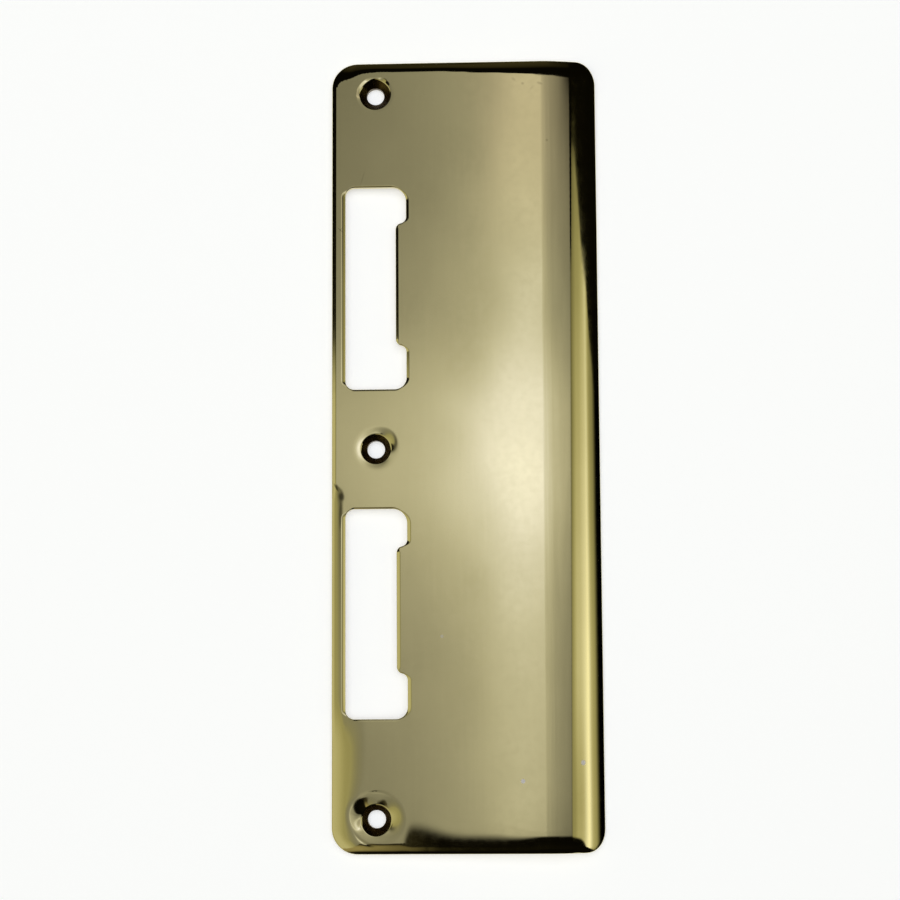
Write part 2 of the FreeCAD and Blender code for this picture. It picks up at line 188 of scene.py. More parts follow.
# Scratches and smudges: place (x, y), radii along and across, direction in degrees, how dark.
MARKS = [
    ((-8.72, -12.1), (1.3, 0.85), -80, 0.62),
    ((-10.05, -9.8), (1.35, 0.32), -62, 0.7),
    ((-9.0, -16.8), (4.2, 0.5), -92, 0.4),
    ((-9.0, 57.0), (1.2, 0.14), -42, 0.32),
    ((-8.9, 57.2), (0.9, 0.12), 48, 0.25),
    ((-3.3, 70.7), (2.3, 0.2), 73, 0.14),
    ((36.1, 96.4), (0.8, 0.45), -40, 0.12),
    ((38.4, 95.2), (0.5, 0.45), 0, 0.18),
    ((42.8, 95.2), (0.9, 0.45), -20, 0.2),
    ((40.7, 94.0), (0.9, 0.3), 45, 0.08),
    ((44.5, 80.0), (0.4, 0.3), 0, 0.25),
]


def section(s, y):
    """Points (x, z) of the show face at (s, y), the slope there, and how x and z change along y."""

    def shape(at_y):
        begin = CREASE_START + CREASE_SKEW * at_y
        knee = KNEE_START + KNEE_SKEW * at_y
        run = (knee - begin - CREASE_WIDTH) / math.cos(sum(SLOPE_ANGLES[:2]) / 2)
        radius = (LIP_TIP - knee - KNEE_WIDTH) / (math.sin(SLOPE_ANGLES[3]) - math.sin(SLOPE_ANGLES[2]))
        curl = radius * (SLOPE_ANGLES[3] - SLOPE_ANGLES[2])
        x, z, slope, before = np.minimum(s, begin), THICKNESS, 0.0, 0.0
        for length, after in zip((CREASE_WIDTH, run, KNEE_WIDTH, curl), SLOPE_ANGLES):
            turn = (after - before) / length
            limit = np.inf if after == SLOPE_ANGLES[3] else length
            angle = before + turn * np.clip(s - begin, 0, limit)
            x = x + (np.sin(angle) - math.sin(before)) / turn
            z = z - (math.cos(before) - np.cos(angle)) / turn
            slope = slope + angle - before
            begin, before = begin + length, after
        return x, z, slope

    x, z, slope = shape(y)
    nearer, farther = shape(y - 0.5), shape(y + 0.5)
    return x, z, slope, farther[0] - nearer[0], farther[1] - nearer[1]


def on_sheet(s, y, height, tilt_s, tilt_y):
    """Places and unit normals of sheet points raised by height, whose normal leans by tilt_s and tilt_y."""
    x, z, slope, x_by_y, z_by_y = section(s, y)
    sin, cos = np.sin(slope), np.cos(slope)
    places = np.stack([x + sin * height, y, z + cos * height], 1)
    lean_y = tilt_y - sin * x_by_y - cos * z_by_y
    normals = np.stack([sin + cos * tilt_s, lean_y, cos - sin * tilt_s], 1)
    return places, normals / np.linalg.norm(normals, axis=1)[:, None]


def traced(start, heading, steps, spacing):
    """Points and unit headings of a closed path. A step is a line's length, or an arc's radius and turn."""
    points, headings = [], []
    place, angle = np.array(start, float), math.radians(heading)
    for step in steps:
        if np.isscalar(step):
            count = max(1, round(step / spacing))
            direction = np.array([math.cos(angle), math.sin(angle)])
            for k in range(count):
                points.append(place + direction * step * k / count)
                headings.append(direction)
            place = place + direction * step
            continue
        radius, turn = step[0], math.radians(step[1])
        side = math.copysign(1, turn)
        centre = place + side * radius * np.array([-math.sin(angle), math.cos(angle)])
        count = max(4, round(abs(step[1]) / 7))
        for k in range(count):
            now = angle + turn * k / count
            points.append(centre + side * radius * np.array([math.sin(now), -math.cos(now)]))
            headings.append([math.cos(now), math.sin(now)])
        angle += turn
        place = centre + side * radius * np.array([math.sin(angle), -math.cos(angle)])
    return np.array(points), np.array(headings)


def outline_loop(spacing):
    """The outline, anticlockwise, and the unit vectors that point from it into the sheet."""
    across = SHEET_END - LEFT_EDGE - PLAIN_CORNER - LIP_CORNER
    lip_side = 2 * (HALF_LENGTH - LIP_CORNER)
    plain_side = 2 * (HALF_LENGTH - PLAIN_CORNER)
    steps = [
        across,
        (LIP_CORNER, 90),
        lip_side,
        (LIP_CORNER, 90),
        across,
        (PLAIN_CORNER, 90),
        plain_side,
        (PLAIN_CORNER, 90),
    ]
    points, headings = traced((LEFT_EDGE + PLAIN_CORNER, -HALF_LENGTH), 0, steps, spacing)
    return points, np.stack([-headings[:, 1], headings[:, 0]], 1)


def opening_loop(bottom, spacing):
    """A bolt opening, anticlockwise, and the unit vectors that point from it into the sheet."""
    turn = math.degrees(math.acos(1 - (OPENING_WIDE - OPENING_NARROW) / (2 * STEP_RADIUS)))
    rise = STEP_RADIUS * math.sin(math.radians(turn))
    across = OPENING_WIDE - OPENING_LEFT - LEFT_CORNER - RIGHT_CORNER
    steps = [
        across,
        (RIGHT_CORNER, 90),
        LOWER_END - RIGHT_CORNER - rise,
        (STEP_RADIUS, turn),
        (STEP_RADIUS, -turn),
        OPENING_LENGTH - UPPER_END - LOWER_END - 2 * rise,
        (STEP_RADIUS, -turn),
        (STEP_RADIUS, turn),
        UPPER_END - UPPER_RIGHT_CORNER - rise,
        (UPPER_RIGHT_CORNER, 90),
        across + RIGHT_CORNER - UPPER_RIGHT_CORNER,
        (LEFT_CORNER, 90),
        OPENING_LENGTH - 2 * LEFT_CORNER,
        (LEFT_CORNER, 90),
    ]
    points, headings = traced((OPENING_LEFT + LEFT_CORNER, bottom), 0, steps, spacing)
    return points, np.stack([headings[:, 1], -headings[:, 0]], 1)


def nearest(loop, inward, points, reach):
    """Distance from each point to the loop, at most reach, with the loop's inward vector and point there."""
    ends = np.roll(loop, -1, 0)
    along = ends - loop
    length2 = (along**2).sum(1)
    distance = np.full(len(points), float(reach))
    normal = np.zeros((len(points), 2))
    normal[:, 0] = 1
    foot = np.zeros((len(points), 2))
    for first in range(0, len(points), 4000):
        block = points[first : first + 4000]
        offset = block[:, None, :] - loop[None]
        part = np.clip((offset * along[None]).sum(2) / length2[None], 0, 1)
        gap = np.sqrt(((offset - part[..., None] * along[None]) ** 2).sum(2))
        k = gap.argmin(1)
        rows = np.arange(len(block))
        t = part[rows, k][:, None]
        distance[first : first + 4000] = gap[rows, k]
        normal[first : first + 4000] = inward[k] * (1 - t) + inward[(k + 1) % len(loop)] * t
        foot[first : first + 4000] = loop[k] + along[k] * t
    return distance, normal, foot


def blended(value, low, high):
    """0 at low, 1 at high, smooth between them."""
    t = np.clip((value - low) / (high - low), 0, 1)
    return t * t * (3 - 2 * t)


def bell(value, middle, width):
    """1 in the middle, fading to 0 on both sides."""
    return np.exp(-(((value - middle) / width) ** 2))


def crown(distance, width, steepness, power=1.5):
    """Drop and steepness of an edge that rolls down over a width, steepest at the edge itself."""
    share = np.clip(distance / width, 0, 1)
    fall = width * ((1 - share) - (1 - share ** (power + 1)) / (power + 1))
    return -steepness * fall, steepness * (1 - share**power)


OUTLINE, OUTLINE_IN = outline_loop(LOOP_STEP)
OPENINGS = [opening_loop(bottom, LOOP_STEP) for bottom in OPENING_BOTTOMS]


def swelling(angle, towards, width):
    """1 in one direction round a hole, fading to 0 away from it."""
    apart = (np.degrees(angle) - towards + 180) % 360 - 180
    return bell(apart, 0, width)


def mouth_of(dish, angle):
    """Radius of a seat's mouth at an angle."""
    swells = [more * swelling(angle, towards, width) for towards, width, more in dish["mouth_swells"]]
    return dish["mouth"] + sum(swells)


def pressed(s, y):
    """Height of the dishes, grooves, waves and dents."""
    height = np.zeros(len(s))
    for dish in DISHES:
        radius = np.hypot(s, y - dish["y"])
        angle = np.arctan2(y - dish["y"], s)
        depth, reach = dish["depth"], dish["radius"]
        for towards, width, deeper, wider in dish["swells"]:
            share = swelling(angle, towards, width)
            depth = depth + deeper * share
            reach = reach + wider * share
        start = mouth_of(dish, angle) - DISH_OVERLAP
        share = np.clip((radius - start) / (reach - start), 0, 1)
        height -= depth * (1 - share) ** dish["bowl"]
    radius, angle = np.hypot(s, y - GROOVES_AT), np.arctan2(y - GROOVES_AT, s)
    for towards, width, at_radius, depth in GROOVES:
        share = swelling(angle, towards, width)
        height -= depth * share * bell(radius, at_radius, GROOVE_WIDTH)
    for size, wave_s, wave_y, phase in WAVES:
        height += size * (np.sin(wave_s * s + wave_y * y + phase) - 1)
    for (at_s, at_y), (length, breadth), direction, depth in DENTS:
        cos, sin = math.cos(math.radians(direction)), math.sin(math.radians(direction))
        along = (s - at_s) * cos + (y - at_y) * sin
        across = (y - at_y) * cos - (s - at_s) * sin
        height -= depth * np.exp(-((along / length) ** 2) - (across / breadth) ** 2)
    return height


def outline_rolls(points):
    """Drops of the show face towards the outline, each with its steepness along s and y."""
    s = points[:, 0]
    gap, inward, foot = nearest(OUTLINE, OUTLINE_IN, points, FAR)
    top = np.clip(-inward[:, 1], 0, 1)
    bottom = np.clip(inward[:, 1], 0, 1) ** 2
    lip = np.clip(-inward[:, 0], 0, 1) ** 2 * (1 - top)
    left = np.clip(1 - top - bottom - lip, 0, 1)
    lower = blended(-foot[:, 1], 9, 14)
    flatter = 1 - 0.85 * blended(s, 50, 57)

    top_width = 2.5 + 0.2 * blended(s, 0, 6) + 0.35 * blended(s, 17, 26) + 1.05 * blended(s, 22, 48)
    top_width += 0.6 * bell(s, -7, 6) + 1.2 * bell(s, -7.2, 2.6)
    width = top_width * top + 0.9 * bottom + (1.15 - 0.35 * lower) * left + 0.4 * lip
    top_steepness = (0.68 - 0.18 * blended(s, 22, 48)) * flatter
    steepness = top_steepness * top + (0.6 - 0.2 * lower) * left + 0.02 * lip
    power = 1.5 - 0.35 * bell(s, -7, 6) * top
    bottom_width = 3 - blended(s, 5, 9) - 0.9 * blended(s, 50, 56)
    bottom_steepness = 0.75 * bottom * flatter
    for drop, fall in (crown(gap, width, steepness, power), crown(gap, bottom_width, bottom_steepness, 0.8)):
        yield drop, fall * inward[:, 0], fall * inward[:, 1]


def soft_margins(points):
    """Drops of the lower end and of the left margins, which bend down more softly."""
    s, y = points[:, 0], points[:, 1]
    reach = 8 - 2.8 * blended(s, 29, 42) + 5 * bell(s, 10, 7)
    dark = 3.3 + 2.2 * bell(s, 9, 7) + 0.5 * blended(s, 30, 44) + 0.12 * np.sin(0.3 * s)
    dark += 0.25 * (1 - blended(s, 16, 24)) + 0.4 * bell(s, 41, 4)
    drop, fall = crown(y + HALF_LENGTH, reach, 0.058 / (1 - (dark / reach) ** 1.2), 1.2)
    where = blended(s, 4.5, 9) * (1 - blended(s, 50.5, 55))
    yield drop * where, 0, fall * where

    from_left = s - LEFT_EDGE
    wide = 8.5 - 2.9 * bell(y, -92.9, 7)
    near_end = blended(-y, 62, 76)
    lower_half = blended(-y - 0.8 * from_left, 7.6, 9.2)
    for reach, steepness, where in ((wide, 0.15, near_end), (3.2, 0.115, lower_half)):
        drop, fall = crown(from_left, reach, steepness)
        yield drop * where, fall * where, 0


def opening_rolls(points):
    """Drops of the show face towards the openings. The lower one is rolled a little more widely."""
    for (loop, into), lower in zip(OPENINGS, (0, 1)):
        gap, inward, _ = nearest(loop, into, points, FAR)
        left = np.clip(-inward[:, 0], 0, 1) ** 6
        right = np.clip(inward[:, 0], 0, 1) ** 3
        above = np.clip(inward[:, 1], 0, 1) ** 6
        below = np.clip(-inward[:, 1], 0, 1) ** 6
        width = 1.1 * left + (0.75 + 0.3 * lower) * right + 0.45 * above + 0.5 * below
        steepness = (0.42 + 0.04 * lower) * left + (0.45 - 0.1 * lower) * right
        steepness += 0.42 * above + 0.17 * below
        drop, fall = crown(gap, width, steepness, 3)
        yield drop, fall * inward[:, 0], fall * inward[:, 1]


def relief(points):
    """Height of the show face over the plain folded sheet, and its steepness along s and y."""
    s, y = points[:, 0], points[:, 1]
    step = 0.01
    height = pressed(s, y)
    by_s = (pressed(s + step, y) - pressed(s - step, y)) / (2 * step)
    by_y = (pressed(s, y + step) - pressed(s, y - step)) / (2 * step)
    for rolls in (outline_rolls, soft_margins, opening_rolls):
        for drop, fall_s, fall_y in rolls(points):
            height += drop
            by_s += fall_s
            by_y += fall_y
    return DEEPEST * np.tanh(height / DEEPEST), by_s, by_y


def show_face(points):
    height, by_s, by_y = relief(points)
    return on_sheet(points[:, 0], points[:, 1], height, -by_s, -by_y)


def back_face(points):
    x, z, slope, _, _ = section(points[:, 0], points[:, 1])
    sin, cos = np.sin(slope), np.cos(slope)
    places = np.stack([x - sin * THICKNESS, points[:, 1], z - cos * THICKNESS], 1)
    return places, np.stack([-sin, np.zeros(len(x)), -cos], 1)


class Skin:
    """Vertices, normals and faces of the plate while it is put together."""

    def __init__(self):
        self.places, self.normals, self.faces, self.finish = [], [], [], []

    def add(self, places, normals):
        first = sum(len(p) for p in self.places)
        self.places.append(places)
        self.normals.append(normals)
        return np.arange(first, first + len(places))

    def join(self, ring, following, finish):
        """A closed band of quads between two rings of as many vertices."""
        nearer, farther = np.roll(ring, -1), np.roll(following, -1)
        self.faces += np.stack([ring, nearer, farther, following], 1).tolist()
        self.finish += [finish] * len(ring)

    def fill(self, rings, domain_rings, extra, extra_ids, finish):
        """Triangles over the domain inside the first ring and outside the others."""
        points = np.concatenate(domain_rings + [extra])
        ids = np.concatenate(rings + [extra_ids])
        edges, first = [], 0
        for ring in domain_rings:
            count = len(ring)
            edges += [(first + k, first + (k + 1) % count) for k in range(count)]
            first += count
        made = delaunay_2d_cdt([Vector(p) for p in points.tolist()], edges, [], 0, 1e-5)
        corners, triangles, origins = made[0], made[2], made[3]
        middle = np.array([sum((corners[k] for k in t), Vector((0, 0))) / 3 for t in triangles])
        keep = inside(middle, domain_rings[0])
        for ring in domain_rings[1:]:
            keep &= ~inside(middle, ring)
        for kept, triangle in zip(keep, triangles):
            if kept:
                self.faces.append([int(ids[origins[k][0]]) for k in triangle])
                self.finish.append(finish)


def inside(points, ring):
    """Whether each point lies inside the closed ring."""
    result = np.zeros(len(points), bool)
    x, y = points[:, 0], points[:, 1]
    for (ax, ay), (bx, by) in zip(ring, np.roll(ring, -1, 0)):
        if ay == by:
            continue
        crosses = (ay > y) != (by > y)
        result ^= crosses & (x < (bx - ax) * (y - ay) / (by - ay) + ax)
    return result


def edge_rings(skin, loop, inward, rim, offsets):
    """Show face near a loop, its rim, wall and back bevel. Returns the end rings with their points."""
    just_inside, rim_steps, bevel_steps, steepest = 0.02, 6, 3, math.radians(89.5)
    _, by_s, by_y = relief(loop + inward * just_inside)
    fall = np.arctan(by_s * inward[:, 0] + by_y * inward[:, 1])
    start = rim * (1 - np.sin(fall))
    front_points = loop + inward * (start + offsets[0])[:, None]
    rings = [skin.add(*show_face(loop + inward * (start + offset)[:, None])) for offset in [*offsets, 0]]
    height, _, _ = relief(loop + inward * start[:, None])
    for share in np.linspace(0, 1, rim_steps + 1)[1:]:
        angle = fall + (math.pi / 2 - fall) * share
        depth = start - rim * (np.sin(angle) - np.sin(fall))
        ring = loop + inward * depth[:, None]
        level = height - rim * (np.cos(fall) - np.cos(angle))
        lean_s, lean_y = -inward.T * np.tan(np.minimum(angle, steepest))
        rings.append(skin.add(*on_sheet(ring[:, 0], ring[:, 1], level, lean_s, lean_y)))
    walls = len(rings)
    for angle in np.linspace(0, math.pi / 2, bevel_steps + 1):
        ring = loop + inward * BACK_BEVEL * (1 - math.cos(angle))
        level = np.full(len(loop), -THICKNESS + BACK_BEVEL * (1 - math.sin(angle)))
        x, z, slope, _, _ = section(ring[:, 0], ring[:, 1])
        sin, cos = np.sin(slope), np.cos(slope)
        out, down = math.cos(angle), math.sin(angle)
        places = np.stack([x + sin * level, ring[:, 1], z + cos * level], 1)
        normals = np.stack(
            [
                -inward[:, 0] * out * cos - down * sin,
                -inward[:, 1] * out,
                inward[:, 0] * out * sin - down * cos,
            ],
            1,
        )
        rings.append(skin.add(places, normals))
        back_points = ring
    for k in range(len(rings) - 1):
        skin.join(rings[k], rings[k + 1], POLISHED if k < walls else BACK)
    return rings[0], front_points, rings[-1], back_points


def seat_profile(mouth, mouth_height, mouth_fall, shoulder):
    """Points and headings, in (radius, z), from the mouth down the cone and hole and round the boss."""
    points, headings = [], []
    place, angle = np.array([mouth, THICKNESS + mouth_height]), math.pi + mouth_fall

    def go(length, count):
        nonlocal place
        direction = np.array([math.cos(angle), math.sin(angle)])
        for k in range(count):
            points.append(place + direction * length * k / count)
            headings.append(direction)
        place = place + direction * length

    def turn(radius, degrees, count):
        nonlocal place, angle
        amount = math.radians(degrees)
        side = math.copysign(1, amount)
        centre = place + side * radius * np.array([-math.sin(angle), math.cos(angle)])
        for k in range(count):
            now = angle + amount * k / count
            points.append(centre + side * radius * np.array([math.sin(now), -math.cos(now)]))
            headings.append(np.array([math.cos(now), math.sin(now)]))
        angle += amount
        place = centre + side * radius * np.array([math.sin(angle), -math.cos(angle)])

    turn(shoulder, 45 - math.degrees(mouth_fall), 6)
    cone_end = HOLE_RADIUS + CONE_FILLET * (1 - math.sqrt(0.5))
    go((place[0] - cone_end) * math.sqrt(2), 5)
    turn(CONE_FILLET, 45, 3)
    go(place[1] - SEAT_BOTTOM - HOLE_FILLET, 3)
    turn(HOLE_FILLET, 90, 4)
    go(BOSS_RIM - place[0], 3)
    turn(BOSS_RIM_RADIUS, 45, 3)
    go(BOSS_SIDE, 4)
    turn(BOSS_FOOT_RADIUS, -45, 4)
    points.append(np.array([BOSS_FOOT, 0.0]))
    headings.append(np.array([1.0, 0.0]))
    return np.array(points), np.array(headings)


def seat_rings(skin, dish):
    """All surfaces of one screw seat. Returns the end rings with their points."""
    # Steps of the profile that are polished, on the shoulder, and painted dark as shade, on the cone and in
    # the hole.
    polished, dark = 5, 12
    angles = np.arange(SEAT_ANGLES) * 2 * math.pi / SEAT_ANGLES
    out = np.stack([np.cos(angles), np.sin(angles)], 1)
    centre = np.array([0.0, dish["y"]])
    mouth = mouth_of(dish, angles)
    rings = [skin.add(*show_face(centre + out * (mouth + offset)[:, None])) for offset in SEAT_RINGS]
    height, by_s, by_y = relief(centre + out * mouth[:, None])
    inner_fall = np.arctan(by_s * out[:, 0] + by_y * out[:, 1])
    shoulder = dish["shoulder"] * (1 + 0.3 * np.cos(angles - 2.6) + 0.08 * np.cos(3 * angles + dish["y"]))
    profiles = [seat_profile(*sizes) for sizes in zip(mouth, height, inner_fall, shoulder)]
    show = len(rings)
    for k in range(len(profiles[0][0])):
        radius = np.array([p[k][0] for p, _ in profiles])
        level = np.array([p[k][1] for p, _ in profiles])
        heading = np.array([h[k] for _, h in profiles])
        side, up = heading[:, 1], -heading[:, 0]
        places = np.stack([out[:, 0] * radius, centre[1] + out[:, 1] * radius, level], 1)
        normals = np.stack([out[:, 0] * side, out[:, 1] * side, up], 1)
        rings.append(skin.add(places, normals))
    finishes = [POLISHED] * (show + polished) + [SEAT] * dark + [BACK] * len(rings)
    for ring, following, finish in zip(rings, rings[1:], finishes):
        skin.join(ring, following, finish)
    front_points = centre + out * (mouth + SEAT_RINGS[0])[:, None]
    return rings[0], front_points, rings[-1], centre + out * BOSS_FOOT


def clear_of(points, loops, distance):
    """The points that lie on the sheet and keep their distance from all loops."""
    keep = inside(points, loops[0])
    for loop in loops[1:]:
        keep &= ~inside(points, loop)
    points = points[keep]
    for loop in loops:
        gap, _, _ = nearest(loop, np.zeros_like(loop), points, FAR)
        points = points[gap > distance]
    return points


def lattice(first, last, across, along):
    """Rows of points between two places across the sheet, every second row shifted by half a step."""
    rows, margin = [], 0.3
    for k, y in enumerate(np.arange(-HALF_LENGTH + margin, HALF_LENGTH, along)):
        s = np.arange(first + (k % 2) * across / 2, last, across)
        rows.append(np.stack([s, np.full(len(s), y)], 1))
    return np.concatenate(rows)


def finer_points(outline, seats):
    """Points of the show face beyond its outline, round the seats and in the dents."""
    points = [outline + OUTLINE_IN * offset for offset in BEYOND_OUTLINE]
    for dish, loop in zip(DISHES, seats):
        centre = np.array([0.0, dish["y"]])
        radius = dish["mouth"] + SEAT_RINGS[0]
        points += [centre + (loop - centre) * (1 + offset / radius) for offset in BEYOND_SEATS]
    for (at_s, at_y), (length, _), _, _ in DENTS:
        fine = np.arange(-2 * length, 2 * length, DENT_STEP)
        across, along = np.meshgrid(fine + at_s, fine + at_y)
        points.append(np.stack([across.ravel(), along.ravel()], 1))
    return np.concatenate(points)


def plate_mesh():
    """The whole sheet, with its own normals, from its edges and seats and the two faces between them."""
    skin = Skin()
    edges = [(OUTLINE, OUTLINE_IN, RIM_RADIUS, OUTLINE_RINGS)]
    edges += [(loop, inward, OPENING_RIM, OPENING_RINGS) for loop, inward in OPENINGS]
    made = [edge_rings(skin, *edge) for edge in edges] + [seat_rings(skin, dish) for dish in DISHES]
    front_ids, front_loops, back_ids, back_loops = (list(part) for part in zip(*made))

    finer = finer_points(front_loops[0], front_loops[len(edges) :])
    field = lattice(LEFT_EDGE, BEND_FIELD - 0.3, FRONT_STEP, FRONT_STEP * 0.87)
    bends = lattice(BEND_FIELD, SHEET_END, BEND_STEP, BEND_ROW_STEP)
    parts = ((finer, FINER_GAP), (field, FRONT_GAP), (bends, BEND_GAP))
    points = np.concatenate([clear_of(part, front_loops, gap) for part, gap in parts])
    skin.fill(front_ids, front_loops, points, skin.add(*show_face(points)), POLISHED)

    field = lattice(LEFT_EDGE, BEND_FIELD - 1, BACK_STEP, BACK_STEP)
    bends = lattice(BEND_FIELD, SHEET_END, BACK_BEND_STEP, BACK_STEP)
    parts = ((field, BACK_GAP), (bends, BACK_BEND_GAP))
    points = np.concatenate([clear_of(part, back_loops, gap) for part, gap in parts])
    skin.fill(back_ids, back_loops, points, skin.add(*back_face(points)), BACK)

    places, normals = np.concatenate(skin.places), np.concatenate(skin.normals)
    faces = []
    for face in skin.faces:
        a, b, c = (places[k] for k in face[:3])
        outward = normals[face].sum(0)
        faces.append(face if np.dot(np.cross(b - a, c - a), outward) >= 0 else face[::-1])
    mesh = bpy.data.meshes.new("strike_plate_skin")
    mesh.from_pydata((places * MM).tolist(), [], faces)
    mesh.polygons.foreach_set("use_smooth", [True] * len(faces))
    mesh.polygons.foreach_set("material_index", skin.finish)
    mesh.update()
    mesh.normals_split_custom_set_from_vertices(normals.tolist())
    return mesh


class Nodes:
    """Short ways to add nodes to one node tree."""

    def __init__(self, tree):
        self.tree = tree
        tree.nodes.clear()

    def add(self, kind, settings=None, **inputs):
        """A new node. An input's name is its socket's, with an underscore for each space."""
        node = self.tree.nodes.new(kind)
        for name, value in (settings or {}).items():
            setattr(node, name, value)
        for name, value in inputs.items():
            self.feed(node, name.replace("_", " "), value)
        return node

    def feed(self, node, name, value):
        """Sets or links an input, found by its name or its number."""
        socket = node.inputs[name]
        if isinstance(value, bpy.types.NodeSocket):
            self.tree.links.new(value, socket)
        else:
            socket.default_value = value

    def place(self):
        """The place on the object, in metres."""
        return self.add("ShaderNodeTexCoord").outputs["Object"]

    def math(self, operation, *values):
        node = self.tree.nodes.new("ShaderNodeMath")
        node.operation = operation
        for k, value in enumerate(values):
            self.feed(node, k, value)
        return node.outputs[0]

    def product(self, first, *others):
        for other in others:
            first = self.math("MULTIPLY", first, other)
        return first

    def less(self, value):
        """What the value lacks to 1."""
        return self.math("SUBTRACT", 1.0, value)

    def smooth(self, value, low, high, start=0.0, end=1.0):
        """From start at low to end at high."""
        node = self.tree.nodes.new("ShaderNodeMapRange")
        node.interpolation_type = "SMOOTHSTEP"
        sockets = ("Value", "From Min", "From Max", "To Min", "To Max")
        for name, number in zip(sockets, (value, low, high, start, end)):
            self.feed(node, name, number)
        return node.outputs[0]

    def ramp(self, value, stops):
        """A colour between the stops (position, colour), with positions from 0 to 1."""
        node = self.tree.nodes.new("ShaderNodeValToRGB")
        elements = node.color_ramp.elements
        while len(elements) > 1:
            elements.remove(elements[-1])
        for k, (position, colour) in enumerate(stops):
            element = elements[0] if k == 0 else elements.new(position)
            element.position = position
            element.color = (*colour, 1)
        self.feed(node, 0, value)
        return node.outputs["Color"]

    def curve(self, value, points):
        """A number that follows the points (value, number), and stays the same beyond them."""
        low, high = points[0][0], points[-1][0]
        peak = max(number for _, number in points)
        share = self.math("DIVIDE", self.math("SUBTRACT", value, low), high - low)
        stops = [((at - low) / (high - low), (number / peak,) * 3) for at, number in points]
        return self.math("MULTIPLY", self.ramp(share, stops), peak)

    def noise(self, place, scale, detail, roughness=0.6):
        names = {"Vector": place, "Scale": scale, "Detail": detail, "Roughness": roughness}
        return self.add("ShaderNodeTexNoise", None, **names).outputs["Fac"]

    def grey(self, value):
        return self.add("ShaderNodeCombineColor", None, Red=value, Green=value, Blue=value).outputs[0]

    def mix(self, share, first, second, blend="MIX"):
        node = self.tree.nodes.new("ShaderNodeMix")
        node.data_type = "RGBA"
        node.blend_type = blend
        for socket, value in ((0, share), (6, first), (7, second)):
            self.feed(node, socket, value)
        return node.outputs[2]

    def tinted(self, tint, value):
        """A colour made darker or lighter by a number."""
        return self.mix(1.0, tint, self.grey(value), "MULTIPLY")

    def metal(self, tone, roughness, bump_strength, bump_depth, height):
        bump = self.add("ShaderNodeBump", None, Strength=bump_strength, Distance=bump_depth, Height=height)
        inputs = {"Base_Color": tone, "Metallic": 1.0, "Roughness": roughness, "Normal": bump.outputs[0]}
        return self.add("ShaderNodeBsdfPrincipled", None, **inputs).outputs[0]

    def either(self, share, first, second):
        """A shader between two others, the second one where the share is 1."""
        node = self.add("ShaderNodeMixShader")
        for socket, value in enumerate((share, first, second)):
            self.feed(node, socket, value)
        return node.outputs[0]

    def finish(self, shader, kind="ShaderNodeOutputMaterial"):
        self.add(kind, None, Surface=shader)


class Ray:
    """Where a ray goes, as sockets: across and along the plate, and its angle to the side in degrees."""

    def __init__(self, nodes):
        self.direction = nodes.add("ShaderNodeTexCoord").outputs["Generated"]
        self.across, self.along, out = nodes.add("ShaderNodeSeparateXYZ", None, Vector=self.direction).outputs
        self.side = nodes.math("DEGREES", nodes.math("ARCTAN2", self.across, out))


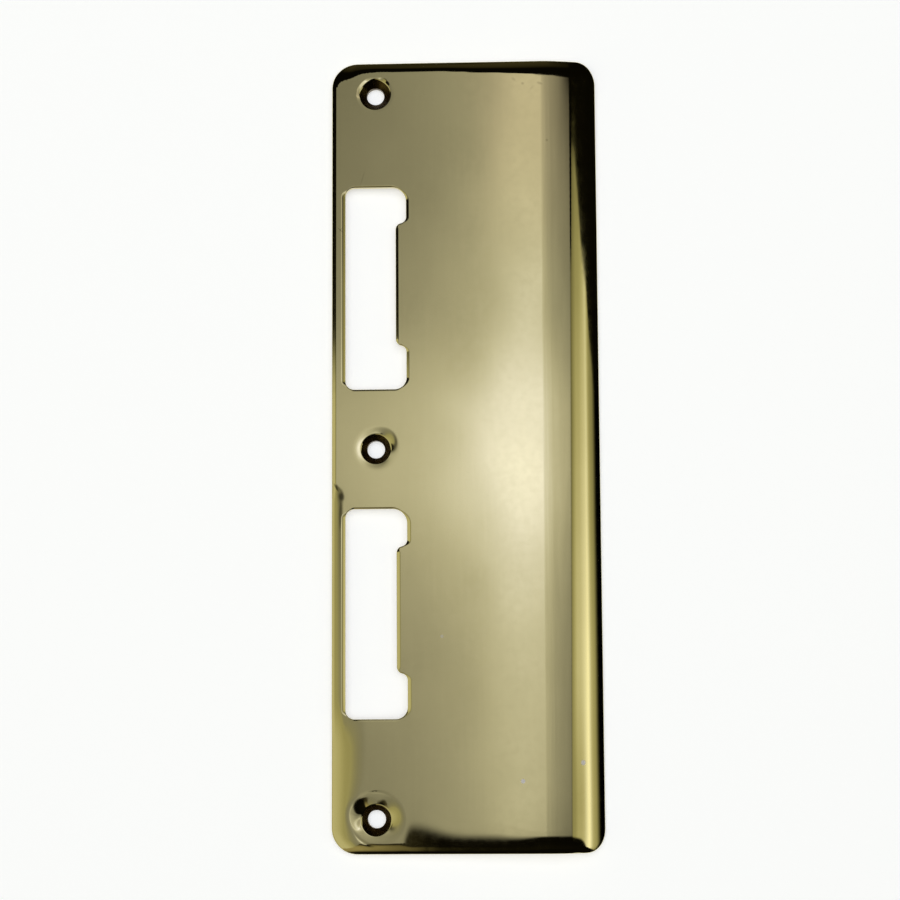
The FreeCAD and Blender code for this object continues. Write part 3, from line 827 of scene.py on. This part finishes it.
def overhead_light(nodes, ray):
    """A strip along the plate, brightest above its lower half, which fades at its upper right corner."""
    drift = nodes.product(nodes.math("MAXIMUM", nodes.math("SUBTRACT", ray.along, 0.12), 0.0), 0.035)
    strip = [
        (-0.110, 0.42), (-0.080, 0.465), (-0.060, 0.515), (-0.033, 0.65), (-0.024, 0.74),
        (-0.015, 0.91), (-0.004, 1.0), (0.006, 0.98), (0.014, 0.88), (0.040, 0.76), (0.100, 0.72),
    ]
    spread = [
        (-90, 0.0), (-16, 0.0), (-11, 0.55), (-7, 0.88), (-5, 1.0), (7, 1.0), (10, 0.93),
        (14.6, 0.86), (19.6, 0.73), (24.6, 0.57), (26.6, 0.40), (30, 0.0), (90, 0.0),
    ]
    length = [
        (-0.20, 0.66), (-0.08, 0.74), (-0.04, 0.78), (0.00, 0.83), (0.035, 0.92), (0.056, 1.04),
        (0.075, 1.22), (0.092, 1.36), (0.115, 1.41), (0.145, 1.36), (0.168, 1.08), (0.188, 0.88),
        (0.225, 0.76), (0.28, 0.69), (0.34, 0.66), (0.45, 0.62),
    ]
    clouds = nodes.smooth(nodes.noise(ray.direction, 34.0, 2.0, 0.5), 0.3, 0.7, 0.955, 1.045)
    light = nodes.product(
        nodes.curve(nodes.math("SUBTRACT", ray.across, drift), strip),
        nodes.curve(ray.side, spread),
        nodes.curve(ray.along, length),
        clouds,
    )

    # More light towards the upper end, and less towards the lower one.
    middle = [
        (-0.1, 0.0), (-0.020, 0.0), (-0.004, 0.13), (0.012, 0.14), (0.03, 0.17), (0.06, 0.14), (0.1, 0.07),
        (0.17, 0.0), (0.2, 0.0),
    ]
    more = nodes.product(nodes.curve(ray.across, middle), nodes.smooth(ray.along, 0.165, 0.215))
    on_the_right = nodes.smooth(ray.across, -0.015, 0.008, 0.0, 0.2)
    less = nodes.product(on_the_right, nodes.smooth(ray.along, -0.082, -0.055, 1.0, 0.0))
    light = nodes.product(light, nodes.math("SUBTRACT", nodes.math("ADD", more, 1.0), less))

    upper_part = [
        (0.2, 0.0), (0.2455, 0.1), (0.2714, 0.3), (0.287, 0.5), (0.297, 0.64), (0.3024, 0.82), (0.31, 1.0),
    ]
    right_part = [(17.6, 0.0), (19.1, 0.08), (21.1, 0.3), (22.6, 0.6), (24.1, 0.88), (25.1, 1.0)]
    corner = nodes.product(nodes.curve(ray.along, upper_part), nodes.curve(ray.side, right_part))
    light = nodes.product(light, nodes.less(corner))

    cool = nodes.smooth(light, 0.55, 1.35)
    warm = nodes.product(nodes.smooth(ray.along, 0.19, 0.30), nodes.smooth(ray.across, -0.035, -0.010))
    tint = nodes.mix(cool, (1.0, 0.985, 0.88, 1), (1.0, 1.01, 1.20, 1))
    tint = nodes.mix(warm, tint, (1.04, 0.975, 0.89, 1))
    return nodes.tinted(tint, light)


def side_panels(nodes, ray):
    """Warm panels to the left and right, with a bright upper edge on the right."""
    right = [
        (27, 0.0), (30, 0.30), (33, 0.40), (35, 0.46), (38, 0.62), (41, 0.76), (46, 0.80),
        (49.5, 0.92), (52.5, 1.08), (55.5, 1.30), (57.6, 1.50), (59.4, 1.32), (61, 1.00), (63, 0.72),
        (66, 0.56), (69.5, 0.46), (73, 0.15), (75, 0.02), (77, 0.0),
    ]
    left = [
        (-88, 0.0), (-78, 0.40), (-60, 0.70), (-33, 0.67), (-20, 0.50), (-15, 0.42), (-12.3, 0.22),
        (-10, 0.12), (-8, 0.06), (-5.5, 0.0),
    ]
    dimmer = [(-0.2, 1.0), (0.0, 1.0), (0.066, 0.84), (0.12, 0.70), (0.175, 0.62), (0.23, 0.58), (0.30, 0.55)]
    dimmer = nodes.curve(ray.along, dimmer)

    # A band of the right panel is darker towards the plate's lower end, and lighter above the middle.
    band = nodes.curve(ray.side, [(33, 0.0), (37, 1.0), (50, 1.0), (55.5, 0.0)])
    lift = [
        (-0.2, 0.05), (-0.09, 0.08), (-0.064, 0.02), (-0.037, 0.18), (0.0, 0.33), (0.05, 0.40),
        (0.12, 0.42), (0.17, 0.38), (0.19, 0.30), (0.22, 0.29), (0.25, 0.20), (0.3, 0.20),
    ]
    lift = nodes.math("SUBTRACT", nodes.curve(ray.along, lift), 0.3)
    dimmer = nodes.math("ADD", dimmer, nodes.product(lift, band))
    right = nodes.product(nodes.curve(ray.side, right), dimmer)
    light = nodes.math("ADD", right, nodes.curve(ray.side, left))
    bright = nodes.smooth(light, 0.35, 1.1)
    return nodes.tinted(nodes.mix(bright, (1.0, 0.95, 0.50, 1), (1.0, 0.97, 0.76, 1)), light)


def lit_part(nodes, ray):
    """How far the lights reach towards the plate's ends, and the dark seam between two of them."""
    upper_end = [
        (-90, 0.15), (-60, 0.165), (-25, 0.165), (-18, 0.16), (-12, 0.15), (-8, 0.22), (-5.5, 0.36),
        (19, 0.36), (20.6, 0.34), (22.8, 0.323), (25.1, 0.306), (26.4, 0.22), (33, 0.21), (35, 0.272),
        (40.4, 0.266), (45.9, 0.246), (51.3, 0.219), (61, 0.196), (65.4, 0.1705), (75, 0.145),
        (90, 0.145),
    ]
    lower_end = [
        (-90, 0.7), (-20, 0.55), (-8, 0.34), (-5, 0.175), (26, 0.155), (45, 0.2), (70, 0.3),
        (90, 0.3),
    ]
    sharpness = [(-90.0, 0.3), (-11.0, 0.3), (-5.0, 1.0), (30.0, 1.0), (36.0, 2.0), (90.0, 2.0)]
    to_upper_end = nodes.math("SUBTRACT", nodes.curve(ray.side, upper_end), ray.along)
    above = nodes.smooth(nodes.product(to_upper_end, nodes.curve(ray.side, sharpness)), -0.006, 0.006)
    below = nodes.smooth(nodes.math("ADD", nodes.curve(ray.side, lower_end), ray.along), -0.028, 0.028)

    # The seam lies between the overhead light and the left panel, and is darkest towards the upper end.
    seam = nodes.curve(ray.side, [(-16.0, 0.0), (-13.0, 0.55), (-10.5, 0.8), (-8.5, 0.55), (-6.5, 0.0)])
    seam = nodes.product(seam, nodes.smooth(ray.along, -0.01, 0.12))
    return nodes.product(above, below, nodes.less(seam))


def far_light(nodes, ray):
    """Dim brown light from beyond both ends of the plate, and a little from everywhere."""
    everywhere = 0.003
    upper = nodes.curve(ray.along, [(0.80, 0.0), (0.90, 0.03), (0.97, 0.05), (1.0, 0.045)])
    upper_sides = [
        (-90, 0.3), (-75, 0.8), (-40, 0.8), (-14, 0.5), (-8, 0.8), (0, 1.0), (25, 1.0), (45, 0.1), (90, 0.1),
    ]
    lower = [
        (-1.0, 0.0), (-0.87, 0.0), (-0.83, 0.1), (-0.76, 0.36), (-0.6, 0.40), (-0.45, 0.36), (-0.36, 0.20),
        (-0.29, 0.06), (-0.1, 0.04), (0.12, 0.008), (0.3, 0.0),
    ]
    lower_left = [
        (-1.0, 1.0), (-0.09, 1.0), (-0.079, 0.7), (-0.068, 0.49), (-0.062, 0.42), (-0.058, 0.15),
        (-0.054, 0.03), (-0.05, 0.01), (1.0, 0.0),
    ]
    upper = nodes.product(upper, nodes.curve(ray.side, upper_sides))
    lower = nodes.product(nodes.curve(ray.along, lower), nodes.curve(ray.across, lower_left))
    light = nodes.math("ADD", nodes.math("ADD", upper, lower), everywhere)
    return nodes.tinted((1.0, 0.86, 0.42, 1), light)


def studio_world():
    """A dark room with a long soft light overhead and warm panels on both sides, as seen by direction."""
    world = bpy.data.worlds.new("studio")
    world.use_nodes = True
    bpy.context.scene.world = world
    nodes = Nodes(world.node_tree)
    ray = Ray(nodes)
    lights = nodes.mix(1.0, overhead_light(nodes, ray), side_panels(nodes, ray), "ADD")
    colour = nodes.mix(lit_part(nodes, ray), far_light(nodes, ray), lights)
    # Past the floor's edge the camera sees the same grey that the floor has there.
    straight = nodes.add("ShaderNodeLightPath").outputs["Is Camera Ray"]
    colour = nodes.mix(straight, colour, (0.62, 0.63, 0.64, 1))
    background = nodes.add("ShaderNodeBackground", None, Color=colour, Strength=1.0)
    nodes.finish(background.outputs[0], "ShaderNodeOutputWorld")


def new_material(name):
    material = bpy.data.materials.new(name)
    material.use_nodes = True
    return material, Nodes(material.node_tree)


def marks(nodes, place):
    """1 on the clean face, and less in its scratches and smudges."""
    clean = 1.0
    for (x, y), (length, breadth), direction, dark in MARKS:
        near = nodes.add(
            "ShaderNodeMapping",
            {"vector_type": "TEXTURE"},
            Vector=place,
            Location=(x * MM, y * MM, THICKNESS * MM),
            Rotation=(0, 0, math.radians(direction)),
            Scale=(length * MM, breadth * MM, 100.0),
        )
        apart = nodes.add("ShaderNodeVectorMath", {"operation": "LENGTH"}, Vector=near.outputs[0])
        clean = nodes.product(clean, nodes.smooth(apart.outputs["Value"], 0.35, 1.15, 1 - dark, 1.0))
    return clean


def specks(nodes, place):
    """How well dust covers the face, with soft edges."""
    covered = 0.0
    for x, y, z, size, strength in DUST:
        apart = nodes.add("ShaderNodeVectorMath", {"operation": "DISTANCE"})
        nodes.feed(apart, 0, place)
        nodes.feed(apart, 1, (x * MM, y * MM, z * MM))
        speck = nodes.smooth(apart.outputs["Value"], size * 0.6 * MM, size * 1.3 * MM, strength, 0.0)
        covered = nodes.math("MAXIMUM", covered, speck)
    return covered


def polished_brass():
    """The show face and the walls: a mirror, with faint strokes along the plate, marks and dust."""
    material, nodes = new_material("polished_brass")
    place = nodes.place()
    cloud = nodes.noise(place, 60.0, 4.0)
    fine = nodes.noise(place, 500.0, 3.0)
    streaks = nodes.add("ShaderNodeMapping", None, Vector=place, Scale=(900.0, 60.0, 900.0))
    strokes = nodes.noise(streaks.outputs[0], 1.0, 3.0)
    tone = nodes.ramp(
        cloud,
        [(0.30, (0.650, 0.590, 0.340)), (0.52, (0.665, 0.605, 0.350)), (0.72, (0.680, 0.618, 0.360))],
    )
    tone = nodes.tinted(tone, nodes.smooth(strokes, 0.35, 0.7, 0.994, 1.005))
    tone = nodes.tinted(tone, marks(nodes, place))
    roughness = nodes.math(
        "ADD",
        nodes.smooth(fine, 0.3, 0.75, 0.045, 0.075),
        nodes.smooth(strokes, 0.45, 0.7, 0.0, 0.006),
    )
    brass = nodes.metal(tone, roughness, 0.04, 0.00001, strokes)
    dust = nodes.add("ShaderNodeBsdfPrincipled", None, Base_Color=(0.72, 0.72, 0.86, 1), Roughness=0.9)
    nodes.finish(nodes.either(specks(nodes, place), brass, dust.outputs[0]))
    return material


def shaded_seat_brass():
    """The screw seats: brass painted near-black to mottled brown, a painted shade and dark reflection in
    their cones and holes.
    """
    material, nodes = new_material("shaded_seat_brass")
    place = nodes.place()
    fine = nodes.noise(place, 2500.0, 3.0)
    # Painted shade: these dark colours stand in for the shade and dark reflections in the seat's cone and
    # hole.
    tone = nodes.ramp(
        nodes.noise(place, 420.0, 4.0),
        [(0.30, (0.05, 0.035, 0.012)), (0.55, (0.14, 0.10, 0.04)), (0.75, (0.30, 0.22, 0.09))],
    )
    nodes.finish(nodes.metal(tone, nodes.smooth(fine, 0.3, 0.7, 0.2, 0.34), 0.3, 0.00005, fine))
    return material


def plain_brass():
    """The back: not polished, a little tarnished."""
    material, nodes = new_material("brass_back")
    place = nodes.place()
    cloud = nodes.noise(place, 35.0, 6.0, 0.65)
    fine = nodes.noise(place, 420.0, 4.0)
    tone = nodes.ramp(
        cloud,
        [(0.28, (0.40, 0.31, 0.14)), (0.5, (0.56, 0.47, 0.24)), (0.72, (0.64, 0.56, 0.32))],
    )
    nodes.finish(nodes.metal(tone, nodes.smooth(cloud, 0.3, 0.7, 0.42, 0.28), 0.25, 0.00005, fine))
    return material


def floor_paper():
    """White paper: lit by the studio, with its own share of white where the camera or the metal sees it."""
    material, nodes = new_material("floor_paper")
    rays = nodes.add("ShaderNodeLightPath").outputs
    seen = nodes.math("MAXIMUM", rays["Is Camera Ray"], rays["Is Glossy Ray"])
    seen = nodes.math("MAXIMUM", seen, rays["Is Transmission Ray"])
    diffuse = nodes.add("ShaderNodeBsdfDiffuse", None, Color=(0.9, 0.9, 0.9, 1))
    strength = nodes.product(seen, FLOOR_GLOW)
    glow = nodes.add("ShaderNodeEmission", None, Color=(0.87, 0.91, 1, 1), Strength=strength)
    paper = nodes.add("ShaderNodeAddShader")
    nodes.feed(paper, 0, diffuse.outputs[0])
    nodes.feed(paper, 1, glow.outputs[0])
    from_below = nodes.add("ShaderNodeNewGeometry").outputs["Backfacing"]
    clear = nodes.add("ShaderNodeBsdfTransparent")
    nodes.finish(nodes.either(from_below, paper.outputs[0], clear.outputs[0]))
    return material


def add_lamp():
    """A wide soft lamp overhead that lights the floor and leaves the metal to the studio."""
    data = bpy.data.lights.new("lamp", "AREA")
    data.shape = "SQUARE"
    data.size = LAMP_SIZE
    data.energy = LAMP_POWER
    lamp = bpy.data.objects.new("lamp", data)
    lamp.location = LAMP_PLACE
    lamp.visible_glossy = False
    bpy.context.scene.collection.objects.link(lamp)


def floor_under(plate):
    """The plane that the plate rests on: through the bosses' lower rims and the lip's lower end."""
    places = np.array([v.co for v in plate.data.vertices])
    lip_x, _, lip_z = places[places[:, 2].argmin()]
    boss_x, boss_z = -BOSS_RIM * MM, SEAT_BOTTOM * MM
    tilt = math.atan2(boss_z - lip_z, lip_x - boss_x)
    mesh = bpy.data.meshes.new("floor")
    corners = [(x * FLOOR_REACH, y * FLOOR_REACH, 0) for x, y in ((-1, -1), (1, -1), (1, 1), (-1, 1))]
    mesh.from_pydata(corners, [], [(0, 1, 2, 3)])
    floor = bpy.data.objects.new("floor", mesh)
    floor.rotation_euler = (0, tilt, 0)
    floor.location = (lip_x, 0, lip_z - FLOOR_GAP)
    floor.data.materials.append(floor_paper())
    bpy.context.scene.collection.objects.link(floor)


def add_camera():
    """Above the plate and below its middle, turned as the photograph was taken."""
    turns = [Matrix.Rotation(math.radians(turn), 3, axis) for turn, axis in zip(CAMERA_TURNS, "XYZ")]
    about_x, about_y, about_z = turns
    to_plate = (about_z @ about_x @ about_y).transposed()
    data = bpy.data.cameras.new("camera")
    data.lens = CAMERA_LENS
    data.clip_start = 0.01
    camera = bpy.data.objects.new("camera", data)
    place = to_plate @ Vector(CAMERA_PLACE) + Vector((0, 0, THICKNESS))
    camera.matrix_world = Matrix.Translation(place * MM) @ to_plate.to_4x4()
    bpy.context.scene.collection.objects.link(camera)
    bpy.context.scene.camera = camera


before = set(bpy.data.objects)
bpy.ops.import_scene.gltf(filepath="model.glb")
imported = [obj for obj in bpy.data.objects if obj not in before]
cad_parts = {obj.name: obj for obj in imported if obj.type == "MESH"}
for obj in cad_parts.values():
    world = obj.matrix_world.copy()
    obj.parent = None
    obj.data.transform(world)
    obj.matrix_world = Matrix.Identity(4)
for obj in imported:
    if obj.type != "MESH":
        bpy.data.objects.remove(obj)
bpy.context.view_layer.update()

plate = bpy.data.objects.new("plate_skin", plate_mesh())
plate.data.materials.append(polished_brass())
plate.data.materials.append(plain_brass())
plate.data.materials.append(shaded_seat_brass())
bpy.context.scene.collection.objects.link(plate)
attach(plate, "root")
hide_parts("strike_plate")

floor_under(plate)
add_camera()
add_lamp()
studio_world()

scene = bpy.context.scene
scene.view_settings.view_transform = "Standard"

bpy.context.view_layer.update()
